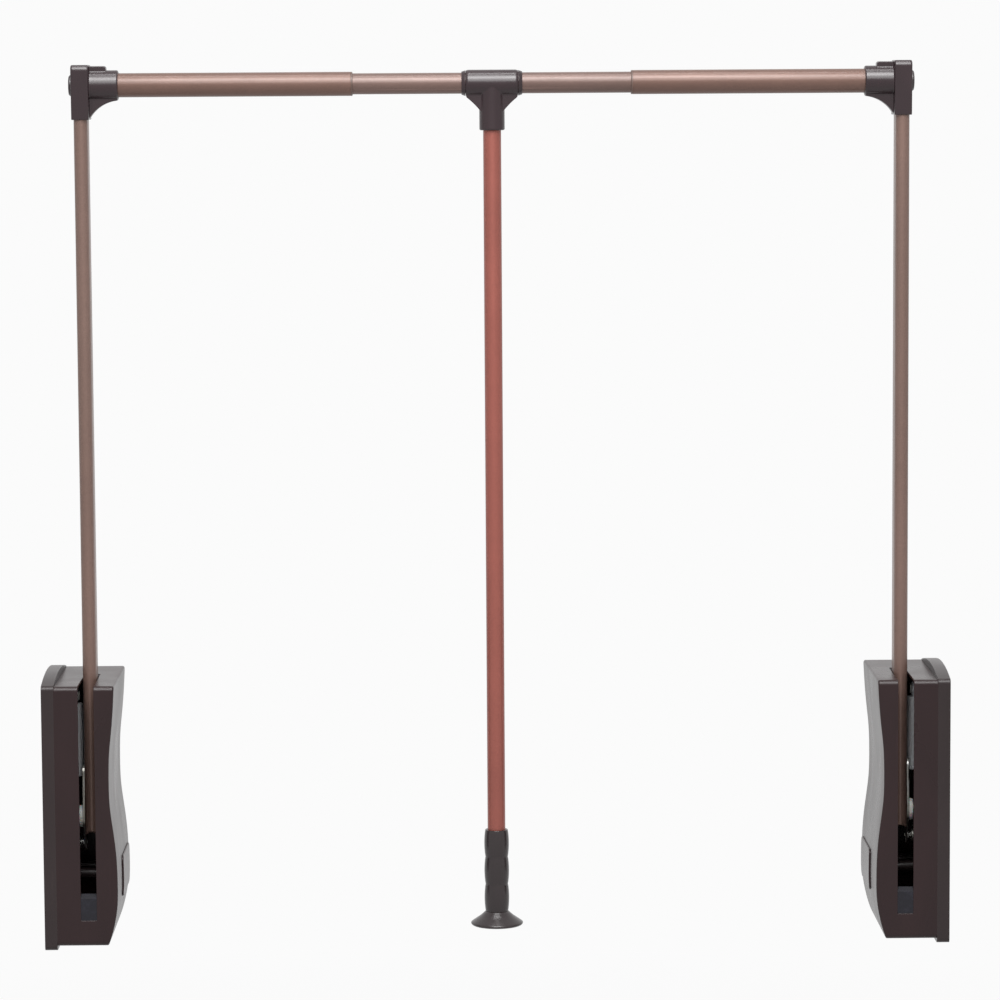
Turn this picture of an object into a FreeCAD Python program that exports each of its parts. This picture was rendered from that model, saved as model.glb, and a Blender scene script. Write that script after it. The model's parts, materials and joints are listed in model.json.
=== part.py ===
import FreeCAD, Part
import math
import os

# Pull-down closet rod: two casings that screw to the side walls of a wardrobe, an oval arm that
# swings forward and down out of each, a telescopic rail between the arms and a pull rod that hangs
# from the middle of the rail. Millimetres. X runs from the left wall to the right wall, Y from the
# front of the wardrobe to its back, Z up. The origin is on the lower edge of the wall plates,
# midway between the walls and midway through the casings' depth.
# Each piece of a side is drawn for the left wall with x = 0 on the wall and x growing inwards. The
# right side is its mirror image.

V = FreeCAD.Vector

# ---- overall layout ----
span = 909.0            # wall to wall
rail_height = 864.0     # rail axis above the lower edge of the wall plates
arm_inset = 44.5        # arm's middle plane, from the wall
arm_y = -12.0           # arm, rail and pivot, from the casings' mid-depth
pivot_height = 126.0
swing = 130.0           # degrees from upright to fully lowered

# ---- casing ----
case_depth = 150.0
case_height = 267.5     # flat top of the cover
cover_bottom = 4.5
cover_wall = 2.5
corner_round = 5.0      # the cover's upper and lower corners, seen from the side
edge_round = 2.0        # round between the cover's inner face and its edges
# Thickness of the casing, as (height, reach from the wall), from the top to the bottom.
case_wave = [(245.0, 71.5), (222.0, 69.5), (200.0, 67.2), (172.0, 66.3), (146.0, 67.0), (120.0, 70.2),
             (94.0, 72.9), (66.0, 73.8), (44.0, 73.1), (28.0, 70.6), (14.0, 67.0)]
crown_reach = 72.0
bottom_reach = 63.6

# ---- wall plate ----
plate_reach = 12.5
plate_crown = 8.0       # rise of its arched top above the cover's
plate_round = 5.0
plate_floor = 3.0
plate_rim = 3.0
rebate_wall = 1.4       # what is left of the rim outside the cover's lip
rebate_depth = 3.0
lip_gap = 0.1
rib_width = 2.5
rib_reach = 12.0
mount_spread = 110.0    # wall screws, front to back
mount_low = 34.0        # height of the lower wall screws
mount_drop = 33.5       # upper wall screws below the cover's top
mount_hole_r = 2.6
mount_boss_r = 8.0
mount_boss_reach = 6.0

# ---- cover's screws, and the bare cap over them ----
cap_length = 80.0
cap_height = 42.0
cap_rise = 1.6
cap_middle_y = 26.0
cap_middle_z = 63.5
cap_corner = 6.0
cap_pocket = 1.4
screw_spread = 40.0
screw_r = 1.9
screw_length = 16.0
screw_head_r = 3.6
screw_head_t = 2.2
screw_sink = 1.3
pillar_r = 5.5

# ---- arm ----
arm_width = 14.0
arm_depth = 30.0
arm_wall = 1.5
arm_tail_r = 20.0       # rounded lower end, about the pivot
slot_gap = 1.0          # each side of the arm
pad_height = 22.5       # lower stop, in the slot's foot
pad_t = 5.0
pad_flange_t = 3.0
pad_flange_lap = 4.0    # how far its flange laps behind the cover's front
buffer_drop = 12.0      # height of the upper buffer
stop_gap = 0.4          # arm to its lower stop, fully lowered
rest_gap = 0.3          # arm to its upper buffer, upright

# ---- pivot ----
axle_r = 6.0
axle_head_r = 10.0
axle_head_t = 4.6
axle_sink = 5.4
journal_r = 5.0
thread_r = 4.0
bush_barrel_r = 8.0
bush_flange_r = 11.0
bush_step = 1.0         # bush beyond the arm's inner face
nut_across = 13.0
nut_t = 6.5
nut_flange_r = 9.0
nut_flange_t = 1.5
thread_tip = 3.0        # beyond the nut, in the cover's bearing
pivot_boss_r = 14.0
pivot_boss_reach = 15.0
cover_boss_r = 8.5

# ---- lever and gas strut ----
lever_t = 2.0
lever_pivot_r = 14.0
lever_pin_r = 9.0
lever_strap_r = 7.4
rivet_r = 2.0
rivet_head_r = 4.0
rivet_head_t = 1.2
rivet_places = (26.0, 45.0)     # above the pivot
crank_r = 32.0
crank_pin_r = 4.0
crank_head_t = 0.4
strut_r = 9.0
strut_wall = 1.4
strut_gap = 0.5         # strut to lever
strut_rod_r = 4.0
strut_drop = 18.5       # anchor pin below the cover's top
strut_mouth_gap = 3.0   # raised rod end to cylinder
gland_t = 5.0
piston_t = 6.0
piston_rise = 1.0       # piston above the gland when extended
eye_r = 7.0
eye_t = 9.2
eye_pin_r = 4.0
eye_gap = 0.3
anchor_head_r = 6.0
anchor_head_t = 1.6

# ---- rail ----
outer_tube_r = 12.0
outer_tube_wall = 1.0
outer_tube_mouth = 140.5        # mouth of each outer tube, from the middle
inner_tube_r = 10.5
inner_tube_wall = 1.2
inner_tube_length = 500.0
guide_length = 12.0
guide_flange_t = 1.5
plug_length = 15.0
plug_flange_t = 2.5

# ---- corner connector ----
head_top = 20.4         # top of the head above the rail axis
head_depth = 38.0       # of the head, at its top
head_round = 5.5
leg_bottom = 34.0       # lower end of the leg below the rail axis
leg_width = 17.6
leg_depth = 33.0
sleeve_r = 15.0
mouth_chamfer = 1.0     # at the mouths of sleeve and neck
sleeve_end = 82.0       # mouth of the sleeve, from the wall
sleeve_seat = 3.0       # wall behind the rail tube's end
web_t = 14.0
web_end = 70.0
web_drop = 1.2          # top web below the head's top
web_round = 2.5
gusset_foot = 9.0       # gusset's lower end beyond the arm's middle plane
gusset_rise = 1.5       # above the leg's lower end
gusset_bulge = (0.36, 0.62)    # where its arc passes, as shares of its width and height
connector_round = 1.5
cap_r = 10.5
cap_proud = 3.0
cap_chamfer = 1.2
cap_plug_r = 8.9
cap_plug_length = 9.0
grub_r = 2.0
grub_length = 5.0

# ---- pull rod ----
tee_length = 52.4
tee_r = 13.3
tee_taper = 2.4
tee_end_r = 12.6
tee_gusset = 25.5       # gusset's reach along the rail, from the middle
tee_gusset_low = 27.6   # its lower end, below the rail axis
tee_bulge = (0.46, 0.52)
collar_r = 12.8         # beside the T, tapering to the tip
collar_tip_r = 11.5
collar_t = 3.8
collar_gap = 0.3
neck_r = 12.7
neck_bottom = 47.0      # below the rail axis
rod_r = 9.0
rod_wall = 1.2
rod_top = 14.5          # below the rail axis
rod_bottom = 40.0
grip_r = 12.3
grip_waist_r = 11.4
grip_top = 108.5
grip_waists = (75.3, 48.4)
grip_bottom = 24.5
foot_r = 26.5
foot_neck_r = 11.6
foot_bottom = 10.2
foot_rim = 2.8
foot_plug_length = 30.0

fit = 0.05              # radial play of pieces that turn or slide in each other, and of seats

# ---- values that follow ----
half_span = span / 2
half_depth = case_depth / 2
arm_outer = arm_inset - arm_width / 2       # the arm's face towards the wall
arm_inner = arm_inset + arm_width / 2
slot_outer = arm_outer - slot_gap
slot_inner = arm_inner + slot_gap
lever_outer = arm_outer - lever_t
strut_x = lever_outer - strut_gap - strut_r
eye_inner = strut_x + eye_t / 2
bush_outer = eye_inner + eye_gap + 0.1
bush_inner = arm_inner + bush_step
crank_angle = swing / 2                     # below the pivot's level when upright
strut_y = arm_y + crank_r * math.cos(math.radians(crank_angle))
crank_drop = crank_r * math.sin(math.radians(crank_angle))
crank_z = pivot_height - crank_drop
strut_travel = 2 * crank_drop
strut_top = case_height - strut_drop
strut_mouth = crank_z + strut_travel + eye_r + strut_mouth_gap
leg_outer = arm_inset - leg_width / 2
leg_inner = arm_inset + leg_width / 2
leg_end = rail_height - leg_bottom
tube_seat = leg_outer + sleeve_seat
arm_top = rail_height - outer_tube_r - 2.0
past = 40.0             # how far cutting tools run beyond what they cut


# ---- shapes ----
def block(x0, x1, y0, y1, z0, z1):
    return Part.makeBox(x1 - x0, y1 - y0, z1 - z0, V(x0, y0, z0))


def bar_x(x0, x1, y, z, r):
    return Part.makeCylinder(r, x1 - x0, V(x0, y, z), V(1, 0, 0))


def bar_y(x, y0, y1, z, r):
    return Part.makeCylinder(r, y1 - y0, V(x, y0, z), V(0, 1, 0))


def bar_z(x, y, z0, z1, r):
    return Part.makeCylinder(r, z1 - z0, V(x, y, z0), V(0, 0, 1))


def pipe_x(x0, x1, y, z, r, bore):
    return bar_x(x0, x1, y, z, r).cut(bar_x(x0, x1, y, z, bore))


def pipe_z(x, y, z0, z1, r, bore):
    return bar_z(x, y, z0, z1, r).cut(bar_z(x, y, z0, z1, bore))


def sheet(points, arrow):
    """The flat polygon through the points, swept along the arrow."""
    return Part.Face(Part.makePolygon(points + points[:1])).extrude(arrow)


def link_x(x0, x1, first, second):
    """A plate across X with round ends, each (y, z, radius), and straight sides tangent to both."""
    (ya, za, ra), (yb, zb, rb) = first, second
    along = math.atan2(zb - za, yb - ya)
    lean = math.acos((ra - rb) / math.hypot(yb - ya, zb - za))
    corners = []
    for y, z, r, turn in ((ya, za, ra, lean), (yb, zb, rb, lean), (yb, zb, rb, -lean), (ya, za, ra, -lean)):
        corners.append(V(x0, y + r * math.cos(along + turn), z + r * math.sin(along + turn)))
    body = sheet(corners, V(x1 - x0, 0, 0))
    return body.fuse([bar_x(x0, x1, ya, za, ra), bar_x(x0, x1, yb, zb, rb)]).removeSplitter()


def oval_z(x, y, z0, z1, width, depth):
    """An upright bar of oval section: flat sides across X, round to the front and the back."""
    a, s = width / 2, (depth - width) / 2
    edges = [Part.LineSegment(V(x - a, y - s, z0), V(x - a, y + s, z0)),
             Part.Arc(V(x - a, y + s, z0), V(x, y + s + a, z0), V(x + a, y + s, z0)),
             Part.LineSegment(V(x + a, y + s, z0), V(x + a, y - s, z0)),
             Part.Arc(V(x + a, y - s, z0), V(x, y - s - a, z0), V(x - a, y - s, z0))]
    return Part.Face(Part.Wire([e.toShape() for e in edges])).extrude(V(0, 0, z1 - z0))


def edges_along_x(shape, length):
    return [e for e in shape.Edges if abs(e.BoundBox.XLength - length) < 1e-6]


def case_side(x0, x1, inset):
    """The cover's outline seen from the side, drawn in by inset."""
    h = half_depth - inset
    prism = block(x0, x1, -h, h, cover_bottom + inset, case_height - inset)
    return prism.makeFillet(max(corner_round - inset, 1.0), edges_along_x(prism, x1 - x0))


def plate_side(x0, x1):
    """The wall plate's outline: straight sides from z = 0, and an arched top."""
    h, shoulder = half_depth, case_height
    edges = [Part.LineSegment(V(x0, -h, 0), V(x0, h, 0)),
             Part.LineSegment(V(x0, h, 0), V(x0, h, shoulder)),
             Part.Arc(V(x0, h, shoulder), V(x0, 0, shoulder + plate_crown), V(x0, -h, shoulder)),
             Part.LineSegment(V(x0, -h, shoulder), V(x0, -h, 0))]
    prism = Part.Face(Part.Wire([e.toShape() for e in edges])).extrude(V(x1 - x0, 0, 0))
    return prism.makeFillet(plate_round, edges_along_x(prism, x1 - x0))


def case_front(shift):
    """Everything between the wall and the casing's wavy inner face, moved inwards by shift."""
    wave = [(case_height + past, crown_reach)] + case_wave + [(cover_bottom, bottom_reach)]
    wave.append((cover_bottom - past, bottom_reach - past))
    curve = Part.BSplineCurve()
    curve.interpolate([V(reach + shift, -half_depth - past, z) for z, reach in wave])
    top, low = curve.StartPoint, curve.EndPoint
    corners = [low, V(-past, low.y, low.z), V(-past, top.y, top.z), top]
    edges = [curve.toShape()] + [Part.makeLine(a, b) for a, b in zip(corners, corners[1:])]
    return Part.Face(Part.Wire(edges)).extrude(V(0, case_depth + 2 * past, 0))


def reach_at(z):
    """How far the casing's inner face stands from the wall at height z, over its mid-depth."""
    probe = Part.makeLine(V(0, 0, z), V(2 * crown_reach, 0, z))
    return case_front(0).common(probe).BoundBox.XMax


def screw_places():
    return [(cap_middle_y + s * screw_spread / 2, cap_middle_z) for s in (-1, 1)]


def mount_places():
    return [(s * mount_spread / 2, z) for s in (-1, 1) for z in (mount_low, case_height - mount_drop)]


# ---- casing ----
def wall_plate():
    shelf = plate_reach - rebate_depth
    tray = plate_side(0, plate_reach).cut([case_side(plate_floor, plate_reach + 1, plate_rim),
                                           case_side(shelf, plate_reach + 1, rebate_wall)])
    across, past_rim = rib_width / 2, case_depth + case_height
    inside = case_side(0, rib_reach, plate_rim)
    ribs = [block(0, rib_reach, arm_y - across, arm_y + across, 0, past_rim).common(inside),
            block(0, rib_reach, -case_depth, case_depth, pivot_height - across, pivot_height + across).common(inside)]
    bosses = [bar_x(0, pivot_boss_reach, arm_y, pivot_height, pivot_boss_r),
              bar_x(0, eye_inner - eye_t - eye_gap, strut_y, strut_top, eye_r)]
    bosses += [bar_x(0, mount_boss_reach, y, z, mount_boss_r) for y, z in mount_places()]
    bosses += [bar_x(0, reach_at(z) - cover_wall - fit, y, z, pillar_r) for y, z in screw_places()]
    pillars = case_front(-cover_wall - fit)
    body = tray.fuse(ribs + [b.common(pillars) for b in bosses])
    holes = [bar_x(-1, pivot_boss_reach + 1, arm_y, pivot_height, axle_r + fit),
             bar_x(-1, axle_sink, arm_y, pivot_height, axle_head_r + 4 * fit),
             bar_x(plate_floor, strut_x, strut_y, strut_top, eye_pin_r + fit)]
    holes += [bar_x(-1, mount_boss_reach + 1, y, z, mount_hole_r) for y, z in mount_places()]
    holes += [bar_x(reach_at(z) - cover_wall - screw_length, 2 * crown_reach, y, z, screw_r + fit)
              for y, z in screw_places()]
    return body.cut(holes).removeSplitter()


def casing_cover():
    outer = case_side(plate_reach, 2 * crown_reach, 0).common(case_front(0))
    wavy = max(outer.Faces, key=lambda f: f.CenterOfMass.x)
    outer = outer.Solids[0].makeFillet(edge_round, wavy.Edges)
    inner = case_side(0, 2 * crown_reach, cover_wall).common(case_front(-cover_wall))
    lip_outer = rebate_wall + lip_gap
    lip_start = plate_reach - rebate_depth + lip_gap
    lip = case_side(lip_start, plate_reach, lip_outer).cut(case_side(lip_start, plate_reach, cover_wall))
    bearing = bar_x(bearing_start(), 2 * crown_reach, arm_y, pivot_height, cover_boss_r).common(case_front(-cover_wall / 2))
    body = outer.cut(inner).fuse([lip, bearing])
    front, back = -half_depth - 1, arm_y + arm_depth / 2 + buffer_t()
    cuts = [block(slot_outer, slot_inner, front, cover_wall - half_depth + 1, pad_bottom(), case_height + 1),
            block(slot_outer, slot_inner, front, back, case_height - 2 * cover_wall, case_height + 1),
            bar_x(bearing_start() - 1, axle_tip() + 0.5, arm_y, pivot_height, thread_r + 2 * fit)]
    for y, z in screw_places():
        cuts.append(bar_x(0, 2 * crown_reach, y, z, screw_r + 4 * fit))
        cuts.append(bar_x(reach_at(z) - screw_sink, 2 * crown_reach, y, z, screw_head_r + 4 * fit))
    return body.cut(cuts).removeSplitter()


def cover_cap():
    low, high = cap_middle_z - cap_height / 2, cap_middle_z + cap_height / 2
    window = block(plate_reach, 2 * crown_reach, cap_middle_y - cap_length / 2, cap_middle_y + cap_length / 2, low, high)
    corners = [e for e in window.Edges if e.BoundBox.XLength > 1]
    body = window.makeFillet(cap_corner, corners).common(case_front(cap_rise))
    face = max(body.Faces, key=lambda f: f.CenterOfMass.x)
    body = body.makeFillet(1.0, face.Edges).cut(case_front(fit))
    pockets = [bar_x(0, reach_at(z) + cap_pocket, y, z, screw_head_r + 8 * fit) for y, z in screw_places()]
    return body.cut(pockets)


def cover_screws():
    screws = []
    for y, z in screw_places():
        seat = reach_at(z) - screw_sink
        head = bar_x(seat, seat + screw_head_t, y, z, screw_head_r)
        shank = bar_x(seat - screw_length + 3.0, seat, y, z, screw_r)
        cross = [block(seat + 1.0, seat + 3, y - a, y + a, z - b, z + b) for a, b in ((2.2, 0.4), (0.4, 2.2))]
        screws.append(head.fuse(shank).cut(cross).removeSplitter())
    return Part.makeCompound(screws)


def pad_top():
    """Height, on the front face, of the stop under the lowered arm."""
    dip = math.radians(swing - 90)
    ahead = half_depth + arm_y
    return pivot_height - ahead * math.tan(dip) - (arm_depth / 2 + stop_gap) / math.cos(dip)


def pad_bottom():
    return pad_top() - pad_height


def stop_pad():
    """The stop at the foot of the slot: its sloping top takes the underside of the lowered arm."""
    face = 0.2 - half_depth
    rise = pad_t * math.tan(math.radians(swing - 90))
    start, low, high = slot_outer + fit, pad_bottom() + fit, pad_top()
    outline = [V(start, face, low), V(start, face, high), V(start, face + pad_t, high + rise),
               V(start, face + pad_t, low)]
    stem = sheet(outline, V(slot_inner - fit - start, 0, 0))
    back = cover_wall + fit - half_depth
    flange = block(slot_outer - pad_flange_lap, slot_inner + pad_flange_lap, back, back + pad_flange_t,
                   low - pad_flange_lap, high - pad_flange_t)
    return stem.fuse(flange).removeSplitter()


def buffer_t():
    return 10.0


def top_buffer():
    """The rubber buffer in the top slot, just behind the upright arm."""
    front, back = arm_y + arm_depth / 2 + rest_gap, arm_y + arm_depth / 2 + buffer_t()
    low = case_height - buffer_drop
    stem = block(slot_outer + fit, slot_inner - fit, front, back - fit, low, case_height)
    flange = block(slot_outer - 3, slot_inner + 3, front + 1, back + 4, low, case_height)
    flange = flange.common(case_side(0, 2 * crown_reach, cover_wall + fit))
    return stem.common(case_side(0, 2 * crown_reach, 0.6)).fuse(flange).removeSplitter()


# ---- pivot ----
def axle_tip():
    return nut_start() + nut_t + thread_tip


def nut_start():
    return bush_inner + 2 * fit


def bearing_start():
    return nut_start() + nut_t + 0.5


def pivot_axle():
    start = axle_sink - axle_head_t
    head = bar_x(start, axle_sink, arm_y, pivot_height, axle_head_r)
    socket = Part.makePolygon([V(start, arm_y + 5 * math.cos(a * math.pi / 3), pivot_height + 5 * math.sin(a * math.pi / 3))
                               for a in range(7)])
    head = head.cut(Part.Face(socket).extrude(V(2.8, 0, 0)))
    shank = bar_x(axle_sink, bush_outer - 2 * fit, arm_y, pivot_height, axle_r)
    journal = bar_x(bush_outer - 2 * fit, nut_start(), arm_y, pivot_height, journal_r)
    thread = bar_x(nut_start(), axle_tip(), arm_y, pivot_height, thread_r)
    tip = thread.makeChamfer(0.8, [e for e in thread.Edges if e.BoundBox.XMin > axle_tip() - 0.1])
    return head.fuse([shank, journal, tip]).removeSplitter()


def axle_nut():
    start, r = nut_start(), nut_across / math.sqrt(3)
    corners = [V(start, arm_y + r * math.cos(a * math.pi / 3), pivot_height + r * math.sin(a * math.pi / 3))
               for a in range(6)]
    flange = bar_x(start, start + nut_flange_t, arm_y, pivot_height, nut_flange_r)
    body = sheet(corners, V(nut_t, 0, 0)).fuse(flange)
    return body.cut(bar_x(start - 1, start + nut_t + 1, arm_y, pivot_height, thread_r + fit)).removeSplitter()


def pivot_bush():
    """Turns on the axle with the arm: a barrel through lever and arm, and a flange as the spacer."""
    barrel = bar_x(lever_outer, bush_inner, arm_y, pivot_height, bush_barrel_r)
    flange = bar_x(bush_outer, lever_outer, arm_y, pivot_height, bush_flange_r)
    rims = [e for e in flange.Edges if e.BoundBox.XMax < lever_outer - 0.1 and e.BoundBox.YLength > 1]
    flange = flange.makeChamfer(0.7, rims)
    return flange.fuse(barrel).cut(bar_x(0, span, arm_y, pivot_height, journal_r + fit)).removeSplitter()


# ---- lever ----
def rivet_heights():
    return [pivot_height + place for place in rivet_places]


def crank_lever():
    hub = (arm_y, pivot_height, lever_pivot_r)
    crank = link_x(lever_outer, arm_outer, hub, (strut_y, crank_z, lever_pin_r))
    strap = link_x(lever_outer, arm_outer, hub, (arm_y, max(rivet_heights()), lever_strap_r))
    holes = [bar_x(0, span, arm_y, pivot_height, bush_barrel_r + fit),
             bar_x(0, span, strut_y, crank_z, crank_pin_r + fit)]
    holes += [bar_x(0, span, arm_y, z, rivet_r + fit) for z in rivet_heights()]
    return crank.fuse(strap).cut(holes).removeSplitter()


def lever_rivets():
    rivets = []
    for z in rivet_heights():
        shank = bar_x(lever_outer, arm_inner, arm_y, z, rivet_r)
        for face, way in ((lever_outer, -1), (arm_inner, 1)):
            end = face + way * rivet_head_t
            head = bar_x(min(face, end), max(face, end), arm_y, z, rivet_head_r)
            rim = [e for e in head.Edges if abs(e.BoundBox.XMin - end) < 0.01 and e.BoundBox.XLength < 0.01]
            shank = shank.fuse(head.makeChamfer(0.6, rim))
        rivets.append(shank.removeSplitter())
    return Part.makeCompound(rivets)


def crank_pin():
    """The lever's pin for the strut. Its end stops short of the rod end, which slides past it."""
    pin = bar_x(eye_inner + eye_gap, arm_outer, strut_y, crank_z, crank_pin_r)
    collar = bar_x(lever_outer - 1.5, lever_outer, strut_y, crank_z, crank_pin_r + 2)
    head = bar_x(arm_outer, arm_outer + crank_head_t, strut_y, crank_z, crank_pin_r + 1)
    return pin.fuse([collar, head]).removeSplitter()


# ---- gas strut ----
def strut_cylinder():
    inner_r = strut_r - strut_wall
    crown = strut_top - eye_r - 2
    body = bar_z(strut_x, strut_y, strut_mouth, crown, strut_r)
    body = body.makeChamfer(1.0, [e for e in body.Edges if e.BoundBox.ZLength < 0.01])
    body = body.cut(bar_z(strut_x, strut_y, strut_mouth - 1, crown - 3, inner_r))
    neck = bar_z(strut_x, strut_y, crown - 1, strut_top, eye_t / 2)
    eye = bar_x(strut_x - eye_t / 2, strut_x + eye_t / 2, strut_y, strut_top, eye_r)
    return body.fuse([neck, eye]).cut(bar_x(0, span, strut_y, strut_top, eye_pin_r + fit)).removeSplitter()


def strut_gland():
    top = strut_mouth + gland_t
    return pipe_z(strut_x, strut_y, strut_mouth, top, strut_r - strut_wall - fit, strut_rod_r + fit)


def piston_seat():
    return strut_mouth + gland_t + piston_rise


def strut_piston():
    seat = piston_seat()
    body = bar_z(strut_x, strut_y, seat, seat + piston_t, strut_r - strut_wall - fit)
    groove = pipe_z(strut_x, strut_y, seat + 2, seat + 4, strut_r, strut_r - strut_wall - 1)
    return body.cut([groove, bar_z(strut_x, strut_y, seat, seat + piston_t, strut_rod_r - 1 + fit)])


def strut_rod():
    seat = piston_seat()
    shaft = bar_z(strut_x, strut_y, crank_z + eye_r - 1.0, seat, strut_rod_r)
    spigot = bar_z(strut_x, strut_y, seat, seat + piston_t, strut_rod_r - 1)
    return shaft.fuse(spigot).cut(rod_end_shape(eye_r + fit)).removeSplitter()


def rod_end_shape(r):
    return bar_x(strut_x - eye_t / 2, strut_x + eye_t / 2, strut_y, crank_z, r)


def strut_rod_end():
    return rod_end_shape(eye_r).cut(bar_x(0, span, strut_y, crank_z, eye_pin_r + fit))


def strut_anchor_pin():
    pin = bar_x(plate_floor + 1, eye_inner + eye_gap, strut_y, strut_top, eye_pin_r)
    head = bar_x(eye_inner + eye_gap, eye_inner + eye_gap + anchor_head_t, strut_y, strut_top, anchor_head_r)
    return pin.fuse(head).removeSplitter()


# ---- arm and corner ----
def arm_tube():
    tube = oval_z(arm_inset, arm_y, pivot_height - arm_tail_r, arm_top, arm_width, arm_depth)
    bore = oval_z(arm_inset, arm_y, 0, rail_height, arm_width - 2 * arm_wall, arm_depth - 2 * arm_wall)
    tail = bar_x(arm_outer - 1, arm_inner + 1, arm_y, pivot_height, arm_tail_r)
    above = block(0, span, arm_y - arm_depth, arm_y + arm_depth, pivot_height, arm_top)
    holes = [bore, bar_x(0, span, arm_y, pivot_height, bush_barrel_r + fit)]
    holes += [bar_x(0, span, arm_y, z, rivet_r + fit) for z in rivet_heights()]
    return tube.common(tail.fuse(above)).cut(holes).removeSplitter()


def grub_height():
    return (leg_end + arm_top) / 2


def grub_reach():
    return (web_end + sleeve_end) / 2


def corner_gusset():
    """The rib in the corner between leg and sleeve, its free edge a hollow arc."""
    foot_x, foot_z = arm_inset + gusset_foot, leg_end + gusset_rise
    tip_x, tip_z = sleeve_end - mouth_chamfer, rail_height - sleeve_r - 0.2
    across, up = gusset_bulge
    start = V(0, arm_y - web_t / 2, 0)
    root = leg_inner - 2
    corners = [V(foot_x, 0, foot_z), V(root, 0, foot_z), V(root, 0, rail_height), V(tip_x, 0, rail_height),
               V(tip_x, 0, tip_z)]
    middle = V(foot_x + across * (tip_x - foot_x), 0, foot_z + up * (tip_z - foot_z))
    edges = [Part.makeLine(a + start, b + start) for a, b in zip(corners, corners[1:])]
    edges.append(Part.Arc(corners[-1] + start, middle + start, corners[0] + start).toShape())
    return Part.Face(Part.Wire(edges)).extrude(V(0, web_t, 0))


def corner_connector():
    """Joins arm and rail: an upright leg over the arm, a round head, and a sleeve over the rail's end."""
    top, low = head_depth / 2, leg_depth / 2
    crest = rail_height + head_top
    plate = sheet([V(leg_outer, arm_y - low, leg_end), V(leg_outer, arm_y - top, crest),
                   V(leg_outer, arm_y + top, crest), V(leg_outer, arm_y + low, leg_end)], V(leg_width, 0, 0))
    shoulders = [e for e in plate.Edges if e.BoundBox.ZMin > crest - 0.1 and e.BoundBox.YLength < 0.01]
    body = plate.makeFillet(head_round, shoulders)
    rims = [e for e in body.Edges if e.BoundBox.XLength < 0.01 and e.BoundBox.ZMax > leg_end + 0.1]
    body = body.makeFillet(connector_round, rims)
    sleeve = bar_x(leg_inner - 2, sleeve_end, arm_y, rail_height, sleeve_r)
    sleeve = sleeve.makeChamfer(mouth_chamfer, [e for e in sleeve.Edges if e.BoundBox.XMin > sleeve_end - 0.1])
    web_top = rail_height + head_top - web_drop
    web = block(leg_inner - 2, web_end, arm_y - web_t / 2, arm_y + web_t / 2, rail_height, web_top)
    web = web.makeFillet(web_round, [e for e in web.Edges if e.BoundBox.XMin > web_end - 0.1
                                     and e.BoundBox.ZMin > web_top - 0.1])
    body = body.fuse([sleeve, web, corner_gusset()])
    socket = oval_z(arm_inset, arm_y, leg_end - 1, arm_top + fit, arm_width + 2 * fit, arm_depth + 2 * fit)
    bore = bar_x(tube_seat, sleeve_end + 1, arm_y, rail_height, outer_tube_r + fit)
    back = arm_y + arm_depth / 2
    holes = [socket, bore, bar_x(leg_outer - 1, tube_seat + 1, arm_y, rail_height, cap_plug_r + fit),
             bar_y(arm_inset, back, back + past, grub_height(), grub_r + fit),
             bar_z(grub_reach(), arm_y, rail_height - sleeve_r - past, rail_height - outer_tube_r, grub_r + fit)]
    return body.cut(holes).removeSplitter()


def corner_cap():
    disc = bar_x(leg_outer - cap_proud, leg_outer, arm_y, rail_height, cap_r)
    rim = [e for e in disc.Edges if e.BoundBox.XMax < leg_outer - 1 and e.BoundBox.YLength > 1]
    disc = disc.makeChamfer(cap_chamfer, rim)
    plug = pipe_x(leg_outer, leg_outer + cap_plug_length, arm_y, rail_height, cap_plug_r, cap_plug_r - 2)
    return disc.fuse(plug).removeSplitter()


def corner_screws():
    """Grub screws that hold the arm in the leg, from behind, and the rail in the sleeve, from below."""
    back = arm_y + arm_depth / 2 + fit
    across = bar_y(arm_inset, back, back + grub_length - 3, grub_height(), grub_r)
    low = rail_height - outer_tube_r - fit
    up = bar_z(grub_reach(), arm_y, low - grub_length + 2, low, grub_r)
    return Part.makeCompound([across, up])


# ---- rail ----
def rail_outer_tube():
    return pipe_x(tube_seat, half_span - outer_tube_mouth, arm_y, rail_height, outer_tube_r, outer_tube_r - outer_tube_wall)


def rail_guide_ring():
    mouth = half_span - outer_tube_mouth
    spigot_r = outer_tube_r - outer_tube_wall - fit
    spigot = bar_x(mouth - guide_length, mouth, arm_y, rail_height, spigot_r)
    flange = bar_x(mouth, mouth + guide_flange_t, arm_y, rail_height, outer_tube_r)
    rim = [e for e in flange.Edges if e.BoundBox.XMin > mouth + 1 and e.BoundBox.YLength > 1]
    flange = flange.makeChamfer(0.5, rim)
    return spigot.fuse(flange).cut(bar_x(0, half_span, arm_y, rail_height, inner_tube_r + fit)).removeSplitter()


def rail_inner_tube():
    half = inner_tube_length / 2
    return pipe_x(-half, half, arm_y, rail_height, inner_tube_r, inner_tube_r - inner_tube_wall)


def inner_tube_plugs():
    """Plugs that guide the inner tube's ends in the outer tubes."""
    end, plugs = inner_tube_length / 2, []
    for side in (-1, 1):
        near, far = sorted((side * (end - plug_length), side * end))
        spigot = pipe_x(near, far, arm_y, rail_height, inner_tube_r - inner_tube_wall - fit, 6.0)
        low, high = sorted((side * end, side * (end + plug_flange_t)))
        flange = pipe_x(low, high, arm_y, rail_height, outer_tube_r - outer_tube_wall - fit, 6.0)
        plugs.append(spigot.fuse(flange).removeSplitter())
    return Part.makeCompound(plugs)


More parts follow.
